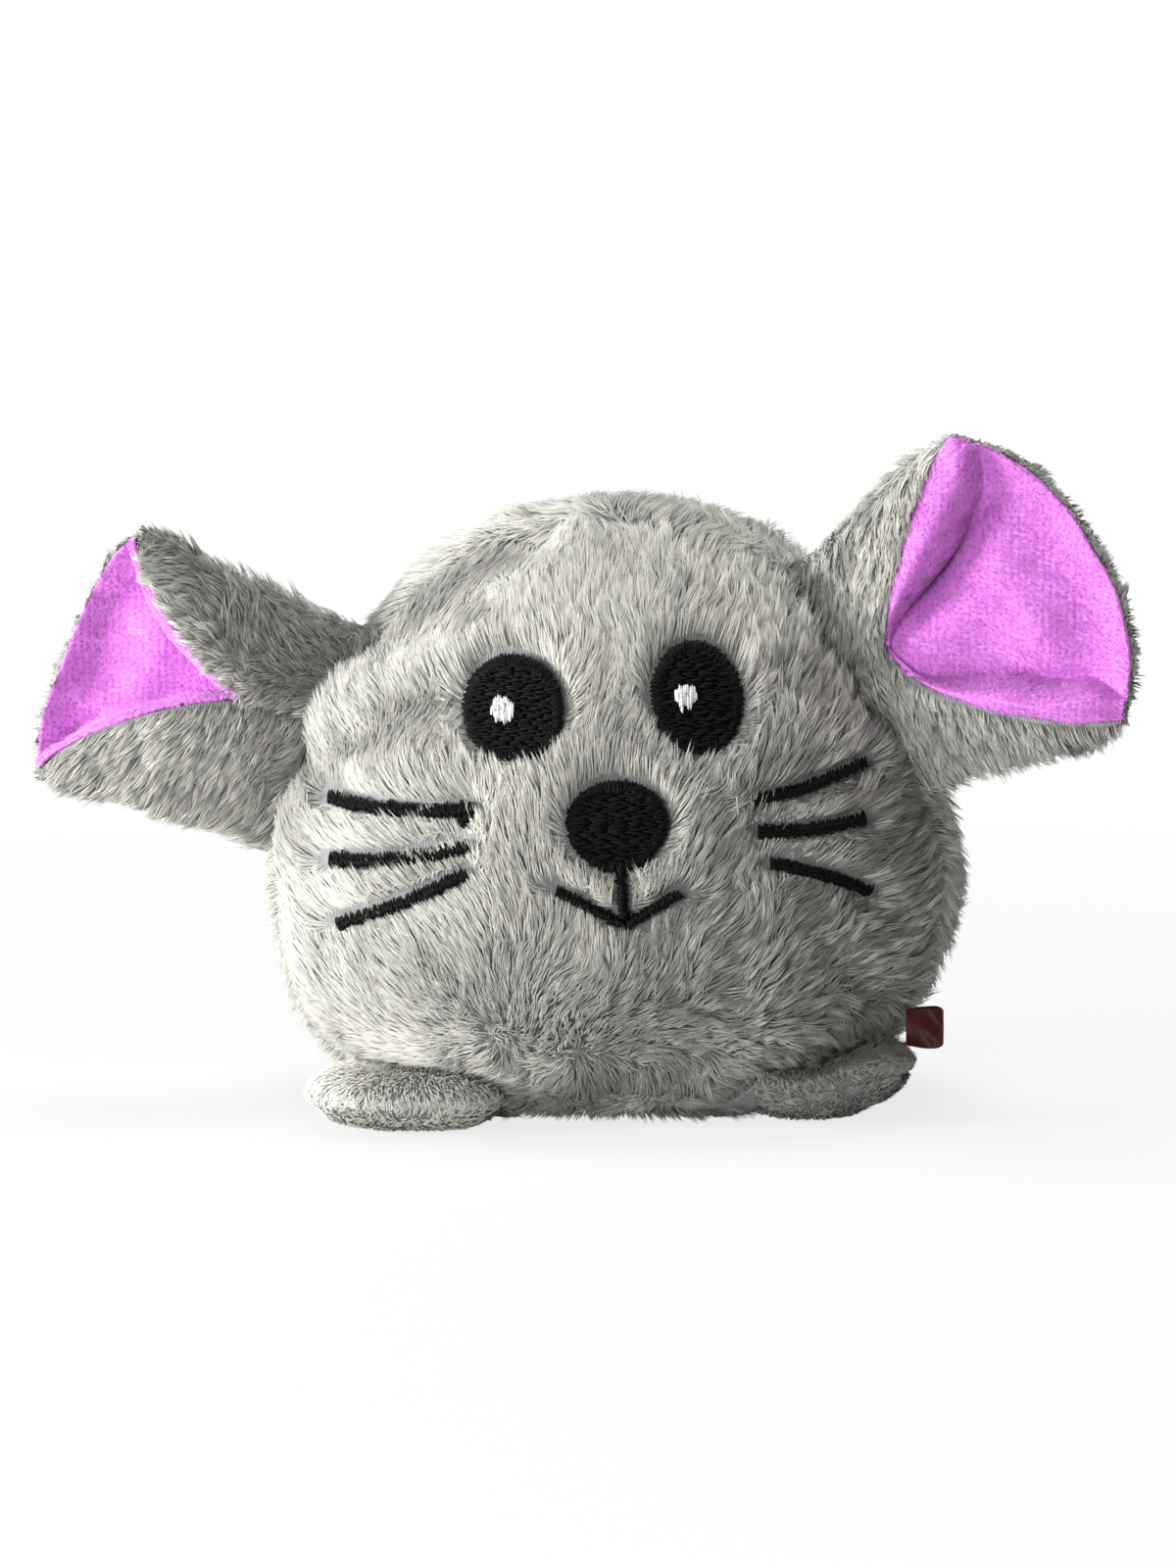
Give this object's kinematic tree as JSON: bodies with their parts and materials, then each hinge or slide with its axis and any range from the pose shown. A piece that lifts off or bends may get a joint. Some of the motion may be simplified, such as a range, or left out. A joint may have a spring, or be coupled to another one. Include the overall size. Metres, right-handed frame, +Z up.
{
  "type": "plush mouse toy",
  "caption": "Small round plush mouse for cats: grey ball body with an embroidered face, cupped pink-lined ears that fold, flat stuffed feet and a blank ribbon tag in the side seam.",
  "frame": {"origin": "on the floor under the middle of the body, at the flat of the base panel", "axes": "+Z up, the face looks along -Y, +X is the right-hand side as seen from the front"},
  "size_m": [0.1264, 0.0681, 0.0802],
  "materials": {
    "plush_grey": "matte",
    "velour_pink": "matte",
    "thread_black": "satin",
    "thread_white": "satin",
    "satin_red": "satin",
    "fibre_white": "matte",
    "cloth_natural": "matte"
  },
  "bodies": {
    "body": {"face_panel": "plush_grey", "back_panel_left": "plush_grey", "back_panel_right": "plush_grey", "base_panel": "plush_grey", "fibre_filling": "fibre_white", "catnip_sachet": "cloth_natural", "left_eye": "thread_black", "left_eye_highlight": "thread_white", "right_eye": "thread_black", "right_eye_highlight": "thread_white", "nose": "thread_black", "philtrum": "thread_black", "mouth": "thread_black", "left_whisker_upper": "thread_black", "left_whisker_middle": "thread_black", "left_whisker_lower": "thread_black", "right_whisker_upper": "thread_black", "right_whisker_middle": "thread_black", "right_whisker_lower": "thread_black"},
    "left_ear": {"left_ear_back": "plush_grey", "left_ear_lining": "velour_pink"},
    "right_ear": {"right_ear_back": "plush_grey", "right_ear_lining": "velour_pink"},
    "left_foot": {"left_foot_upper": "plush_grey", "left_foot_sole": "plush_grey"},
    "right_foot": {"right_foot_upper": "plush_grey", "right_foot_sole": "plush_grey"},
    "side_tag": {"side_tag": "satin_red"}
  },
  "joints": [
    {"name": "left_ear_fold", "type": "hinge", "parent": "body", "child": "left_ear", "pos_m": [-0.03748, -0.00433, 0.04387], "axis": [-0.389, 0.0467, -0.9201], "range_deg": [-50, 40], "stiffness_Nm_per_rad": 0.004},
    {"name": "right_ear_fold", "type": "hinge", "parent": "body", "child": "right_ear", "pos_m": [0.03146, -0.01357, 0.05174], "axis": [-0.5143, 0.0617, 0.8554], "range_deg": [-50, 40], "stiffness_Nm_per_rad": 0.004},
    {"name": "left_foot_droop", "type": "hinge", "parent": "body", "child": "left_foot", "pos_m": [-0.022, -0.012, 0.0009], "axis": [1, 0, 0], "range_deg": [0, 18], "stiffness_Nm_per_rad": 0.003},
    {"name": "right_foot_droop", "type": "hinge", "parent": "body", "child": "right_foot", "pos_m": [0.0238, -0.008, 0.0009], "axis": [1, 0, 0], "range_deg": [0, 18], "stiffness_Nm_per_rad": 0.003},
    {"name": "side_tag_flip", "type": "hinge", "parent": "body", "child": "side_tag", "pos_m": [0.03625, -0.00893, 0.0098], "axis": [0, 0, 1], "range_deg": [-45, 45], "stiffness_Nm_per_rad": 0.00002}
  ]
}
